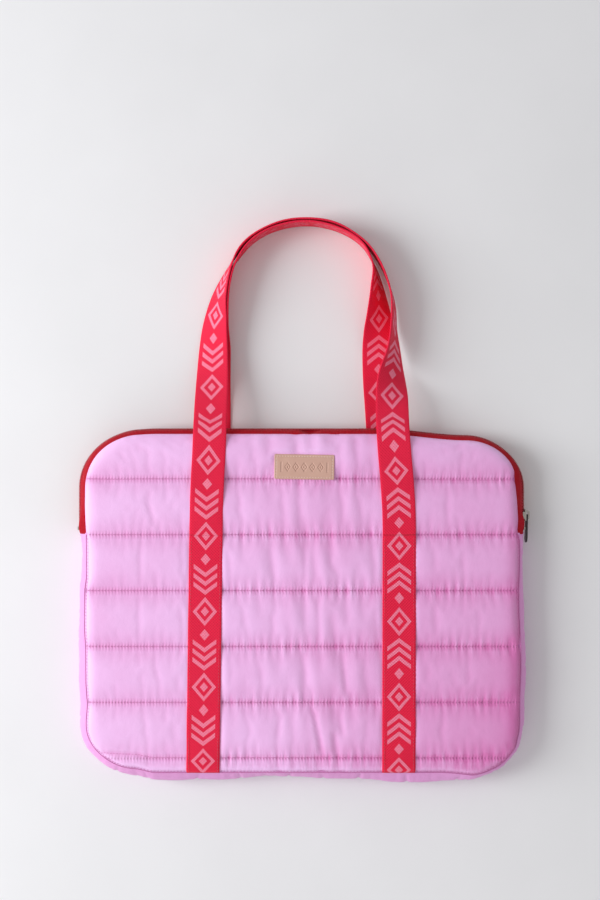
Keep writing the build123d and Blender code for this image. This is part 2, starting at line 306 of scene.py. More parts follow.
class Nodes:
    """A material's node tree, built up by short calls."""

    def __init__(self, name):
        self.material = bpy.data.materials.new(name)
        self.material.use_nodes = True
        self.tree = self.material.node_tree
        self.shader = self.tree.nodes["Principled BSDF"]

    def add(self, kind, settings=None, **inputs):
        node = self.tree.nodes.new(kind)
        for key, value in (settings or {}).items():
            setattr(node, key, value)
        for key, value in inputs.items():
            self.plug(node.inputs[int(key[1:]) if key[1:].isdigit() else key.replace("_", " ")], value)
        return node

    def plug(self, socket, value):
        if isinstance(value, Value):
            value = value.socket
        if isinstance(value, bpy.types.NodeSocket):
            self.tree.links.new(value, socket)
        else:
            socket.default_value = value

    def math(self, operation, a, b):
        node = self.add("ShaderNodeMath", {"operation": operation}, i0=a, i1=b)
        return Value(self, node.outputs[0])

    def place(self, scale=(1, 1, 1), uv=False):
        coordinates = self.add("ShaderNodeTexCoord").outputs["UV" if uv else "Object"]
        return self.add("ShaderNodeMapping", Vector=coordinates, Scale=scale).outputs[0]

    def axes(self, place):
        """X, Y and Z of a place."""
        split = self.add("ShaderNodeSeparateXYZ", Vector=place)
        return [Value(self, output) for output in split.outputs]

    def noise(self, place, scale, detail=2.0):
        node = self.add("ShaderNodeTexNoise", Vector=place, Scale=scale, Detail=detail)
        return Value(self, node.outputs[0])

    def pointiness(self):
        return Value(self, self.add("ShaderNodeNewGeometry").outputs["Pointiness"])

    def mix(self, amount, low, high):
        node = self.add("ShaderNodeMix", {"data_type": "RGBA"})
        self.plug(node.inputs["Factor"], amount)
        self.plug(node.inputs[6], low)
        self.plug(node.inputs[7], high)
        return node.outputs[2]

    def bump(self, height, distance, strength=1.0, normal=None):
        node = self.add("ShaderNodeBump", Height=height, Distance=distance, Strength=strength)
        if normal is not None:
            self.plug(node.inputs["Normal"], normal)
        return node.outputs[0]

    def finish(self, **sockets):
        for key, value in sockets.items():
            self.plug(self.shader.inputs[key.replace("_", " ")], value)
        return self.material


def weave(nodes, place, pitch):
    """Height of a plain weave whose threads are pitch metres apart."""
    x, y, _ = nodes.axes(place)
    return x.wave(pitch) * y.wave(pitch)


def quilt_nearness(y, reach):
    """1 on a line of quilting, falling to 0 beyond reach metres from it."""
    to_line = (y - FOLD_Y * MM).ping_pong(QUILT_PITCH / 2 * MM)
    return (1.0 - to_line / reach).at_least(0.0) ** 1.5


# Painted shade: the dark colour painted into each needle hole of the quilting.
NEEDLE_HOLE_SHADE = srgb(170, 70, 135)
HEM_Y = -0.122
# Where the painted shade starts: the rim's height from the middle, and the right side's X.
RIM_Z = (SEAM_Z + 1.9 - MIDDLE_Z) * MM
SIDE_X = (PANEL_HALF_WIDTH - 20.0) * MM


def quilted_marks(nodes, place):
    """Height of the quilted face's puckers, its painted shade, and the painted shade at each needle hole.
    The puckers fade to the left. Painted shade darkens the colour at the rim, near the right side, in
    creases and puckers, and beside the quilting. It also grows towards the right, away from the lamp, and
    more to the lower right."""
    x, y, z = nodes.axes(place)
    full = (x * 8.0 + 1.25).at_least(0.1).at_most(0.8)
    hem = ((HEM_Y - y) / 0.02).at_most(1.0) * 0.75
    beside = quilt_nearness(y, 0.012).at_least(hem) * full
    pucker = nodes.noise(nodes.place(scale=(1.0, 0.14, 0.14)), 400.0)
    from_stitch = abs((x + HALF_WIDTH * MM).wave(2 * QUILT_STITCH * MM))
    height = pucker * beside + from_stitch * 0.35 * quilt_nearness(y, 0.006)
    # Painted shade: dark dots painted at each needle hole along the lines of quilting.
    hole_shade = from_stitch**6.0 * quilt_nearness(y, 0.002) * (full * 0.25 + 0.6)

    # Painted shade: the colour is darkened where the puckers dip, and in the mesh's creases (low
    # pointiness).
    pucker_shade = (0.5 - pucker) * beside * 1.4
    creases = (0.5 - nodes.pointiness()) * 6.0
    # Painted shade on the panel's rolled rim and near its right side.
    rim = ((RIM_Z - abs(z - MIDDLE_Z * MM)) / 0.0022).at_least(0.0).at_most(1.0)
    side = ((x - SIDE_X) / 0.018).at_least(0.0).at_most(1.0)
    # Painted shade that grows to the right, away from the lamp, more so to the lower right, and beside the
    # lines of quilting.
    lower_right_shade = x.at_least(0.0) * (0.01 - y).at_least(0.0)
    painted_shade = (creases + pucker_shade).at_least(-0.3) + rim * 0.3 + side**2.0 * 0.55
    painted_shade += x.at_least(-0.1) * 0.9 + lower_right_shade * 14.0 + quilt_nearness(y, 0.02) * 0.3
    return height, painted_shade, hole_shade


def nylon(name, colour, shade, quilted=False):
    """Soft nylon taffeta: fine weave, slight crinkle and a low sheen."""
    nodes = Nodes(name)
    place = nodes.place()
    tone = nodes.noise(place, 14.0, 3.0) * 0.5 - 0.05
    normal = nodes.bump(weave(nodes, place, 0.0005), 0.00006, 0.5)
    normal = nodes.bump(nodes.noise(place, 160.0, 3.0), 0.0006, 0.3, normal)
    if quilted:
        # Quilted, the colour is darkened by painted shade, with dots of painted shade at each needle hole.
        height, painted_shade, hole_shade = quilted_marks(nodes, place)
        normal = nodes.bump(height, 0.0008, 1.0, normal)
        base = nodes.mix(hole_shade, nodes.mix(tone + painted_shade, colour, shade), NEEDLE_HOLE_SHADE)
    else:
        base = nodes.mix(tone, colour, shade)
    return nodes.finish(
        Base_Color=base,
        Roughness=0.5,
        Sheen_Weight=0.1,
        Sheen_Roughness=0.6,
        Sheen_Tint=(0.86, 0.94, 1.0, 1.0),
        Specular_IOR_Level=0.45,
        Normal=normal,
    )


def plain_cloth(name, colour, shade, pitch):
    """Plain woven cloth, such as lining or binding."""
    nodes = Nodes(name)
    place = nodes.place()
    return nodes.finish(
        Base_Color=nodes.mix(nodes.noise(place, 40.0, 3.0), colour, shade),
        Roughness=0.7,
        Sheen_Weight=0.15,
        Specular_IOR_Level=0.3,
        Normal=nodes.bump(weave(nodes, place, pitch), pitch / 5, 0.6),
    )


def ribbed_tape(name, colour, shade):
    """Zip tape: ribs across it, laid out along its length by the mesh's own coordinates."""
    nodes = Nodes(name)
    x, y, _ = nodes.axes(nodes.place(uv=True))
    height = y.wave(1.3 * MM) * 0.7 + x.wave(1.1 * MM) * 0.3
    return nodes.finish(
        Base_Color=nodes.mix(height * 0.25 + 0.4, shade, colour),
        Roughness=0.7,
        Sheen_Weight=0.02,
        Specular_IOR_Level=0.18,
        Normal=nodes.bump(height, 0.0003, 0.7),
    )


MOTIF_PITCH = 68.0


def diamond(x, y, centre, half_x, half_y):
    """How far a place on the webbing is from a diamond's centre: 1 on its outline."""
    return abs(x) / half_x + abs(y - centre) / half_y


def motif_mask(x, y):
    """1 inside the webbing's woven diamonds and chevrons, and 0 elsewhere."""
    large = diamond(x, y, 13.5, 11.0, 13.0)
    mask = abs(large - 0.84).below(0.16).at_least(large.below(0.34))
    mask = mask.at_least(diamond(x, y, 60.5, 4.4, 5.2).below(1.0))
    slope = y - abs(x) * 0.75
    for centre in (30.5, 38.5, 46.5):
        mask = mask.at_least(abs(slope - centre).below(2.1) * abs(x).below(10.6))
    return mask


def webbing(name, ground, motif, faint):
    """Jacquard webbing: a twill ground with a woven motif, fainter on the reverse."""
    nodes = Nodes(name)
    around, length, _ = nodes.axes(nodes.place(scale=(1 / MM, 1 / MM, 1), uv=True))
    reverse = around.above(WEB_WIDTH)
    x = around.modulo(WEB_WIDTH) - WEB_WIDTH / 2
    mask = motif_mask(x, length.modulo(MOTIF_PITCH))
    twill, rib = (around + length).wave(2.6), length.wave(1.3)
    shade = twill * rib * 0.4 + nodes.noise(nodes.place(), 650.0) * 0.7
    base = nodes.mix(shade, ground, darker(ground, 0.7))
    light = nodes.mix(shade * 0.7, motif, ground)
    weak = nodes.mix(reverse, light, nodes.mix(0.6, light, faint))
    raised = mask * 0.5 + (twill + rib) * 0.35
    return nodes.finish(
        Base_Color=nodes.mix(mask, base, weak),
        Roughness=0.65,
        Sheen_Weight=0.04,
        Specular_IOR_Level=0.25,
        Normal=nodes.bump(raised, 0.0005, 0.8),
    )


def leather(name, colour, shade):
    """Leatherette with a fine grain."""
    nodes = Nodes(name)
    place = nodes.place()
    grain = nodes.add("ShaderNodeTexVoronoi", {"feature": "DISTANCE_TO_EDGE"}, Vector=place, Scale=1400.0)
    mottle = nodes.noise(place, 120.0, 4.0)
    return nodes.finish(
        Base_Color=nodes.mix(mottle, colour, shade),
        Roughness=0.48,
        Specular_IOR_Level=0.45,
        Normal=nodes.bump(mottle, 0.0004, 0.25, nodes.bump(grain.outputs[0], 0.0001, 0.4)),
    )


def metal(name, colour, roughness):
    """Plated zinc casting with faint tumbling marks."""
    nodes = Nodes(name)
    marks = nodes.noise(nodes.place(), 700.0, 4.0)
    return nodes.finish(
        Base_Color=nodes.mix(marks, colour, darker(colour, 0.75)),
        Metallic=1.0,
        Roughness=marks * 0.22 + (roughness - 0.1),
        Normal=nodes.bump(marks, 0.00006, 0.3),
    )


def mottled(name, colour, shade, scale, detail, relief, **sockets):
    """A surface mottled between two colours and raised by the same noise. relief is a bump's distance and
    strength."""
    nodes = Nodes(name)
    fuzz = nodes.noise(nodes.place(), scale, detail)
    base = nodes.mix(fuzz, colour, shade)
    return nodes.finish(Base_Color=base, Normal=nodes.bump(fuzz, *relief), **sockets)


def sewing_thread(name, colour):
    return mottled(
        name, colour, darker(colour, 0.8), 2500.0, 1.0, (0.0001, 0.5), Roughness=0.5, Sheen_Weight=0.2
    )


def moulded_nylon(name, colour):
    return mottled(
        name, colour, darker(colour, 0.8), 500.0, 2.0, (0.0001, 0.2), Roughness=0.38, Specular_IOR_Level=0.5
    )


def fleece(name, colour, shade, scale):
    """Wadding or foam, seen only where a panel is cut."""
    return mottled(name, colour, shade, scale, 5.0, (0.0005, 0.6), Roughness=0.9)


PINK = nylon("pink_nylon", srgb(236, 162, 223), srgb(228, 146, 210))
# The quilted nylon's second colour is both its random tone and its painted shade.
QUILTED = nylon("quilted_nylon", srgb(250, 198, 249), srgb(226, 122, 190), quilted=True)
LINING = plain_cloth("lining_fabric", srgb(206, 112, 186), srgb(192, 96, 172), 0.0009)
BINDING = plain_cloth("binding_tape", srgb(206, 112, 186), srgb(182, 88, 162), 0.0012)
WEBBING = webbing("webbing", srgb(255, 30, 74), srgb(255, 150, 180), srgb(238, 36, 76))
ZIP_TAPE = ribbed_tape("zip_tape", srgb(206, 12, 40), srgb(160, 6, 26))
COIL = moulded_nylon("zip_coil", srgb(176, 14, 32))
NICKEL = metal("nickel", srgb(205, 200, 190), 0.3)
GUNMETAL = metal("gunmetal", srgb(78, 72, 72), 0.32)
LEATHER = leather("label_leather", srgb(218, 178, 160), srgb(202, 158, 142))
WADDING = fleece("wadding", srgb(240, 240, 238), srgb(222, 222, 218), 500.0)
FOAM = fleece("foam", srgb(226, 226, 218), srgb(206, 206, 196), 1500.0)
PINK_THREAD = sewing_thread("pink_thread", srgb(226, 140, 198))
SEAM_THREAD = sewing_thread("seam_thread", srgb(212, 120, 184))
RED_THREAD = sewing_thread("red_thread", srgb(226, 70, 96))
TAN_THREAD = sewing_thread("tan_thread", srgb(244, 222, 208))


# ---- Floor, light and camera ----


def area_light(name, size, energy, colour, place, aim):
    lamp = bpy.data.lights.new(name, "AREA")
    lamp.shape = "RECTANGLE"
    lamp.size, lamp.size_y = size
    lamp.energy = energy
    lamp.color = colour
    obj = bpy.data.objects.new(name, lamp)
    obj.location = place
    obj.rotation_euler = (Vector(aim) - obj.location).to_track_quat("-Z", "Y").to_euler()
    bpy.context.scene.collection.objects.link(obj)


def studio():
    """A pale floor under a soft sky, a large lamp at the left, a weak one in front, and the camera."""
    scene = bpy.context.scene
    scene.view_settings.view_transform = "Standard"
    world = bpy.data.worlds.new("studio")
    scene.world = world
    world.use_nodes = True
    sky = world.node_tree.nodes["Background"]
    sky.inputs["Color"].default_value = (1.0, 0.984, 0.99, 1)
    sky.inputs["Strength"].default_value = 0.475

    floor = bpy.data.meshes.new("floor")
    floor.from_pydata([(-3, -3, 0), (3, -3, 0), (3, 3, 0), (-3, 3, 0)], [], [(0, 1, 2, 3)])
    surface = Nodes("floor")
    grain = surface.noise(surface.place(), 9.0, 6.0)
    paint = surface.mix(grain, srgb(234, 234, 236), srgb(242, 242, 244))
    relief = surface.bump(grain, 0.002, 0.2)
    floor.materials.append(surface.finish(Base_Color=paint, Roughness=0.8, Normal=relief))
    ground = bpy.data.objects.new("floor", floor)
    scene.collection.objects.link(ground)

    area_light("key", (0.9, 1.5), 36.0, (0.975, 0.99, 1.0), (-1.75, 0.18, 1.0), (0, 0.12, 0))
    area_light("fill", (1.4, 0.7), 3.8, (1.0, 1.0, 1.0), (-0.7, -1.45, 0.75), (0, -0.1, 0))

    camera = bpy.data.cameras.new("camera")
    camera.lens = 47.5
    camera.sensor_width = 36.0
    eye = bpy.data.objects.new("camera", camera)
    eye.location = (-0.0014, 0.1404, 1.1)
    scene.collection.objects.link(eye)
    scene.camera = eye


# ---- Quilted panels ----


def panel_lattice(inset, spacing):
    """Triangles over a panel's outline, in rows that fall on the quilting lines, and the loop of its rim."""
    rim_count = int((ROUND - math.tau * inset) / spacing)
    x, y, nx, ny = along(np.arange(rim_count) * ROUND / rim_count)
    rim = np.stack([x - nx * inset, y - ny * inset], axis=1)
    half = int(HALF_HEIGHT / spacing) + 2
    step = spacing * 2 / math.sqrt(3)
    across = int(1.3 * HALF_WIDTH)
    inner = []
    for row in range(-2 * half, 2 * half):
        xs = (np.arange(-across, across) + 0.5 * (row % 2)) * step
        inner.append(np.stack([xs, 0 * xs + FOLD_Y + row * spacing], axis=1))
    inner = np.concatenate(inner)
    inside = edge_distance(inner[:, 0], inner[:, 1], inset) > spacing * 0.6
    inside &= (np.abs(inner[:, 0]) < HALF_WIDTH) & (np.abs(inner[:, 1]) < HALF_HEIGHT)
    flat = np.concatenate([rim, inner[inside]])
    loop = [(i, (i + 1) % rim_count) for i in range(rim_count)]
    made = delaunay_2d_cdt([Vector(point) for point in flat], loop, [], 0, 1e-5, False)
    points = np.array([(v.x, v.y) for v in made[0]])
    return points, np.array(made[2]), np.arange(rim_count)


def quilt_height(x, y, inset):
    """Height of the quilted face before the cloth settles."""
    between = np.mod((y - FOLD_Y) / QUILT_PITCH, 1.0)
    arch = np.sin(math.pi * between) ** 0.55
    crown = VALLEY_Z + (CREST_Z - VALLEY_Z) * arch * 0.75
    edge = edge_distance(x, y, inset)
    roll = np.sqrt(1 - (1 - np.clip(edge / EDGE_ROLL, 0, 1)) ** 2)
    return SEAM_Z + (crown - SEAM_Z) * roll


CLOTH = {
    "vertex_group_mass": "pin",
    "vertex_group_shrink": "gather",
    "quality": 4,
    "mass": 0.1,
    "tension_stiffness": 8,
    "compression_stiffness": 8,
    "shear_stiffness": 3,
    "bending_stiffness": 0.8,
    "use_pressure": True,
    "uniform_pressure_force": 4.0,
    "shrink_min": -0.002,
    "shrink_max": -0.035,
}
CLOTH_FRAMES = 16
MOST_TRAVEL = 3.0


def settle(obj, pin, gather):
    """Runs the cloth over a sheet that is held at its pinned points, and returns where its points settle.
    The cloth is slack everywhere and fuller where gather says, as beside a line of stitches."""
    for name, weights in (("pin", pin), ("gather", gather)):
        group = obj.vertex_groups.new(name=name)
        levels = np.round(weights * 20) / 20
        for level in np.unique(levels):
            group.add([int(i) for i in np.flatnonzero(levels == level)], float(level), "REPLACE")
    cloth = obj.modifiers.new("cloth", "CLOTH")
    for setting, value in CLOTH.items():
        setattr(cloth.settings, setting, value)
    cloth.settings.effector_weights.gravity = 0
    cloth.collision_settings.use_collision = False
    cloth.point_cache.frame_end = CLOTH_FRAMES
    scene = bpy.context.scene
    for step in range(1, CLOTH_FRAMES + 1):
        scene.frame_set(step)
    settled = obj.evaluated_get(bpy.context.evaluated_depsgraph_get())
    points = np.zeros(len(obj.data.vertices) * 3)
    settled.data.vertices.foreach_get("co", points)
    obj.modifiers.remove(cloth)
    scene.frame_set(1)
    return points.reshape(-1, 3) / MM


# Long creases in the quilted face: where each starts, its top and low ends, its lean and its depth.
CREASES = [
    (9.5, -87, -138, -0.2, 1.6), (33.0, -88, -122, -0.16, 0.8), (28.5, -110, -138, -0.1, 1.1),
    (-18.0, -90, -124, 0.12, 0.5), (14.0, 12, -36, -0.06, 0.6), (36.0, -38, -84, -0.1, 0.8),
    (2.0, 62, 16, -0.04, 0.5), (-140.0, 100, 66, -0.3, 0.4),
]


def from_quilting(y):
    """Distance from the nearest line of quilting."""
    return np.min([np.abs(y - line) for line in QUILT_LINES], axis=0)


def gathers(x, y):
    """Starting creases: short ones beside the quilting, fainter at the left, and long ones that run down
    the middle."""
    short = wave_noise(x, y * 0.12, 5.5, 3) * hump(from_quilting(y), 0, 9)
    short *= 0.3 + 0.7 * smoothstep(-170, -50, x)
    long = wave_noise(x + y * 0.15, y * 0.3, 17, 4) * (0.1 + 1.1 * hump(x, 15, 60))
    creases = 0
    for start, top, low, lean, depth in CREASES:
        ends = smoothstep(top, top - 9, y) * smoothstep(low, low + 9, y)
        creases = creases + hump(x, start + (y - top) * lean, 1.9) * ends * depth
    return 0.45 * short + 0.4 * long - creases


def settled_panel():
    """Points of the quilted face once its cloth has settled, with its triangles and rim."""
    flat, triangles, rim = panel_lattice(SEAM_INSET, QUILT_PITCH / QUILT_ROWS)
    x, y = flat.T
    points = np.column_stack([flat, quilt_height(x, y, SEAM_INSET) + gathers(x, y)])
    pin = from_quilting(y) < 0.1
    pin[rim] = True
    strap_edge = np.abs(np.abs(np.abs(x) - STRAP_X) - WEB_WIDTH / 2 + 1.5) < 1.4
    pin |= strap_edge & (y < FOLD_Y)
    sheet = add_mesh("settling", points, triangles, PINK)
    settled = settle(sheet, pin.astype(float), hump(from_quilting(y), 0, 5))
    bpy.data.objects.remove(sheet)
    travel = np.clip(settled - relaxed(points), -MOST_TRAVEL, MOST_TRAVEL)
    return points + travel, triangles, rim


def closed_layer(name, top, bottom, faces, rim, material):
    """A closed layer between two sheets of points with the same faces, and a wall along their rim."""
    count = len(top)
    after = np.roll(rim, -1)
    wall = np.stack([rim, rim + count, after + count, after], axis=1)
    faces = [*faces.tolist(), *(faces[:, ::-1] + count).tolist(), *wall.tolist()]
    return add_mesh(name, np.vstack([top, bottom]), faces, material)


def flat_layer(name, inset, low, high, material, ripple=0.0):
    """A padding or lining layer, level apart from a little ripple. All share one lattice, so that they stay
    on each other."""
    flat, triangles, rim = panel_lattice(inset, LAYER_SPACING)
    wave = ripple * wave_noise(flat[:, 0], flat[:, 1], 45, 21)
    top = np.column_stack([flat, high + wave])
    bottom = np.column_stack([flat, low + wave])
    return closed_layer(name, top, bottom, triangles, rim, material)


FLAP_BEND = 26.0


def bend_with_flap(piece):
    """Bakes the transform of a piece of the front panel into its mesh."""
    start = (0, FOLD_Y * MM, DEPTH * MM)
    end = (0, (FOLD_Y + FLAP_BEND) * MM, DEPTH * MM)
    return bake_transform(piece)


def named(piece, slot, *nodes):
    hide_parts(*nodes)
    return piece


SHELL_THICK = 0.8
UNDER_NYLON = 1.8
LABEL_Z = DEPTH + 0.2


def quilted_panels():
    """The quilted nylon of both panels."""
    face, triangles, rim = settled_panel()
    face = press_for_straps(face)
    drop = np.array([0, 0, SHELL_THICK])
    front = closed_layer("front_panel", face, face - drop, triangles, rim, QUILTED)
    named(front, "pink_nylon", "lower_front_shell", "upper_front_shell")
    bend_with_flap(front)

    # The back panel is the same, turned over and pressed flat by what it lies on.
    back = face * (-1, 1, -1) + (0, 0, DEPTH)
    back[:, 2] = np.maximum(back[:, 2], 0.25)
    shell = closed_layer("back_panel", back + drop, back, triangles, rim, QUILTED)
    named(shell, "pink_nylon", "back_shell")
    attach(shell, "bag")


def press_for_straps(face):
    """Presses the face down under the straps and label, so that they lie on it."""
    x, y, z = face.T
    under = smoothstep(WEB_WIDTH / 2 + 1.5, WEB_WIDTH / 2 - 2.5, np.abs(np.abs(x) - STRAP_X))
    under *= smoothstep(FOLD_Y + 3, FOLD_Y - 3, y)
    low, high = node_box("label_patch")
    over = np.minimum(np.minimum(x - low[0], high[0] - x), np.minimum(y - low[1], high[1] - y))
    label = smoothstep(-2.0, 1.5, over)
    pressed = z * (1 - under) + np.minimum(z, strap_height(y) - WEB_THICK - 0.2) * under
    pressed = pressed * (1 - label) + (LABEL_Z - 0.3) * label
    return np.column_stack([x, y, pressed])


def strap_height(y):
    """Height of a sewn strap's upper face: it dips a little at each line of quilting."""
    between = np.mod((y - FOLD_Y) / QUILT_PITCH, 1.0)
    return DEPTH + 0.3 + 1.1 * np.sin(math.pi * between) ** 0.8


def turned_over(piece, name):
    """A copy of a front layer, turned over for the back panel."""
    mesh = piece.data.copy()
    for vertex in mesh.vertices:
        vertex.co.z = DEPTH * MM - vertex.co.z
    mesh.flip_normals()
    copy = bpy.data.objects.new(name, mesh)
    bpy.context.scene.collection.objects.link(copy)
    return copy


def inner_layers():
    """Wadding, foam, lining and seam binding of both panels. The front ones have their transforms baked into
    their meshes.
    """
    low, high = node_box("lower_front_foam_sheet")
    inset = HALF_WIDTH - high[0]
    flat, triangles, rim = panel_lattice(inset, LAYER_SPACING)
    crown = quilt_height(*flat.T, SEAM_INSET) - UNDER_NYLON
    top = np.column_stack([flat, np.minimum(crown, DEPTH - WEB_THICK - 0.9)])
    bottom = np.column_stack([flat, np.full(len(flat), high[2] + 0.1)])
    lining_low, lining_high = node_box("lower_front_lining")
    wadding = closed_layer("front_wadding", top, bottom, triangles, rim, WADDING)
    foam = flat_layer("front_foam", inset, low[2] + 0.15, high[2], FOAM)
    lining = flat_layer("front_lining", inset, lining_low[2], lining_high[2] - 0.15, LINING, 0.12)
    layers = [
        (wadding, "wadding", "wadding"),
        (foam, "foam", "foam_sheet"),
        (lining, "lining_fabric", "lining"),
        (seam_binding(), "binding_tape", "seam_binding"),
    ]
    for front, slot, layer in layers:
        back = turned_over(front, f"back_{layer}_layer")
        named(front, slot, f"lower_front_{layer}", f"upper_front_{layer}")
        named(back, slot, f"back_{layer}")
        if layer == "lining":
            declare_lining(inset)
            declare_lining(inset)
        bend_with_flap(front)
        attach(back, "bag")


def declare_lining(inset):
    """Works out the flat area of a lining cut to the panel's rounded outline, and does not use it."""
    width, height = 2 * (HALF_WIDTH - inset) * MM, 2 * (HALF_HEIGHT - inset) * MM
    corners = (4 - math.pi) * ((CORNER - inset) * MM) ** 2
    width * height - corners


# ---- Side wall: gusset and zip ----


def swept(name, s, section, material, closed=False):
    """A closed strip whose section, an array of (h, out) loops, is swept along the side wall."""
    rows = len(s)
    columns = section.shape[1]
    points = side_points(s[:, None], section[..., 0], section[..., 1])
    if closed:
        faces = grid_faces(rows, columns, close_rows=True, close_columns=True)
    else:
        faces = tube_faces(rows, columns)
    uvs = np.stack([np.tile(lengths(points[0]), rows), np.repeat(s, columns)], axis=1) * MM
    return add_mesh(name, points.reshape(-1, 3), faces, material, uvs)


def wall_loop(h, out, thick):
    """The loop of a strip's section from its outer line and thickness: out along it, then back inside."""
    line = np.stack([h, out], axis=-1)
    inner = line[:, ::-1] - np.array([0, 1.0]) * thick
    return np.concatenate([line, inner], axis=1)


SEAM_H = SEAM_Z - MIDDLE_Z - 0.1


def seam_out(h):
    """How far the visible wall stands off the plain curve, so that its edges tuck into the seams."""
    tucked = (SEAM_INSET + 0.2) * np.abs(h / SEAM_H) ** 2.6
    return bulge(h) - tucked


def sewn_down(h):
    """1 over the side wall, falling to 0 where its edges are held in the seams."""
    return smoothstep(SEAM_H, SEAM_H - 3.5, np.abs(h))


def slack_out(s):
    """How far the side wall stands out past its plain line, in the sides and along the bottom."""
    x, y, _, _ = along(s)
    left = 3.0 * hump(y, -75, 62) * (x < -150)
    right = 3.0 * hump(y, -62, 75) * (x > 150)
    low = 3.6 * hump(x, 105, 45) + 2.0 * hump(x, -110, 38) - 2.2 * hump(x, -25, 26)
    return left + right + low * smoothstep(-120, -150, y)


# Pinches in the gusset: distance along it, lean and depth.
PINCHES = [
    (95, 0.3, 0.5), (168, -0.4, 0.6), (232, 0.2, 0.7), (262, -0.3, 0.6), (305, 0.3, 0.9), (346, -0.2, 0.6),
    (388, 0.4, 1.0), (421, -0.3, 0.7), (452, 0.2, 1.1), (497, -0.2, 0.8), (541, 0.3, 0.9), (577, -0.4, 0.6),
    (624, 0.3, 0.7), (684, -0.2, 0.6), (742, 0.3, 0.5),
]
HEM = 1.6
GUSSET_FULLNESS, LINING_FULLNESS = 1.28, 1.06


def gusset():
    """Plain side strip, puffed out between its seams, with puckers at them and a few pinches."""
    s = np.linspace(-HEM, LOWER_U + HEM, 590)
    along_it = s[:, None]
    h = np.linspace(-SEAM_H, SEAM_H, 17)[None, :] + 0 * along_it
    away = 1 - (h / SEAM_H) ** 2
    puckers = wave_noise(along_it, h * 0.3, 7, 31) * (1 - away * 0.8) * sewn_down(h) * 0.4
    slow = wave_noise(along_it, h * 0.5, 40, 32) * away * 0.5
    pinch = sum(hump(along_it, at + h * lean, 1.6) * depth for at, lean, depth in PINCHES)
    swell = (0.9 + slack_out(along_it)) * away
    hem = 0.6 * smoothstep(HEM + 2.5, -HEM, np.minimum(along_it, LOWER_U - along_it))
    out = seam_out(h) + swell + puckers + slow + hem - pinch * (0.3 + away) * sewn_down(h)
    piece = swept("gusset", s, wall_loop(h, out, SHELL_THICK), PINK)
    named(piece, "pink_nylon", "gusset_shell")
    2 * SEAM_H * GUSSET_FULLNESS * MM
    LOWER_U * MM
    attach(piece, "bag")

    h = np.linspace(-SEAM_H + 1, SEAM_H - 1, 9)[None, :] + 0 * along_it
    out = seam_out(h) - 1.9 + 0.25 * wave_noise(along_it, h, 25, 33)
    lining = swept("gusset_lining_strip", s, wall_loop(h, out, 0.4), LINING)
    named(lining, "lining_fabric", "gusset_lining")
    2 * (SEAM_H - 1) * LINING_FULLNESS * MM
    LOWER_U * MM
    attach(lining, "bag")


def zip_tape(side, name):
    """One tape, from the coil to its seam, with the doubled edge that the coil is sewn to. It waves a
    little, except where the slider runs, and stands out at its ends and above the slider."""
    s = np.arange(LOWER_U + 0.3, ROUND - 0.2, 1.5)
    h = side * np.linspace(0.8, SEAM_H, 12)[None, :] + 0 * s[:, None]
    from_middle = np.abs(h)
    x, y, _, _ = (part[:, None] for part in along(s))
    at_right, at_left = x > 150, x < -150
    still = 1 - smoothstep(60, 66, y) * smoothstep(122, 108, y) * at_right
    wave = 0.3 * wave_noise(s[:, None], h * 0.4, 32, 41) * smoothstep(2, 8, from_middle) * still
    swells = [
        (1.8 * hump(y, 116, 20) * at_right, 4.7, 8.5),
        (4.0 * hump(y, 73, 11) * at_right, 5.5, 9.0),
        (3.4 * hump(y, 70, 10) * at_left, 4.0, 8.0),
        (-3.2 * hump(x, 7.5, 7) * (y > 150), 1.0, 5.0),
    ]
    for swell, begins, ends in swells:
        wave += swell * smoothstep(begins, ends, from_middle)
    doubled = 0.35 * smoothstep(5.4, 4.8, from_middle)
    out = seam_out(h) + doubled + wave * sewn_down(h) + 0.1
    loop = wall_loop(h, out, SHELL_THICK)
    return swept(name, s, loop if side > 0 else loop[:, ::-1], ZIP_TAPE)


TURN = 1.35
WIRE = 0.38


def zip_coil(side, name):
    """One half of the coil: a turn every TURN millimetres, each wrapped out from the tape's edge, and
    none under the slider or past it."""
    s = np.arange(LOWER_U + 6, ROUND - 6, TURN)
    x, y, _, _ = along(s)
    clear_of_slider = (x < 0) | (y > node_box("slider_body")[1][1] - 4.5)
    s = s[clear_of_slider] + (TURN / 2 if side > 0 else 0)
    ring = np.linspace(0, math.tau, 10, endpoint=False)[:, None]
    tube = np.linspace(0, math.tau, 5, endpoint=False)
    # Each turn is a flattened loop in the plane across the zip, with a thin round wire.
    shape_h = 1.1 * np.cos(ring) + 1.5 + WIRE * np.cos(ring) * np.cos(tube)
    shape_out = 0.85 * np.sin(ring) + 0.95 + WIRE * np.sin(ring) * np.cos(tube)
    shape_s = WIRE * 1.1 * np.sin(tube) + 0 * shape_h
    block = grid_faces(10, 5, close_rows=True, close_columns=True)
    h = side * shape_h
    points = [side_points(turn + shape_s, h, shape_out + bulge(h)).reshape(-1, 3) for turn in s]
    faces = [block + shape_h.size * i for i in range(len(s))]
    return add_mesh(name, np.concatenate(points), np.concatenate(faces).tolist(), COIL)


def zip_pieces():
    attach(named(zip_tape(-1, "rear_tape"), "zip_tape", "rear_zip_tape"), "bag")
    bend_with_flap(named(zip_tape(1, "front_tape"), "zip_tape", "front_zip_tape"))
    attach(named(zip_coil(-1, "rear_coil"), "zip_coil", "rear_zip_coil"), "bag")
    bend_with_flap(named(zip_coil(1, "front_coil"), "zip_coil", "front_zip_coil"))


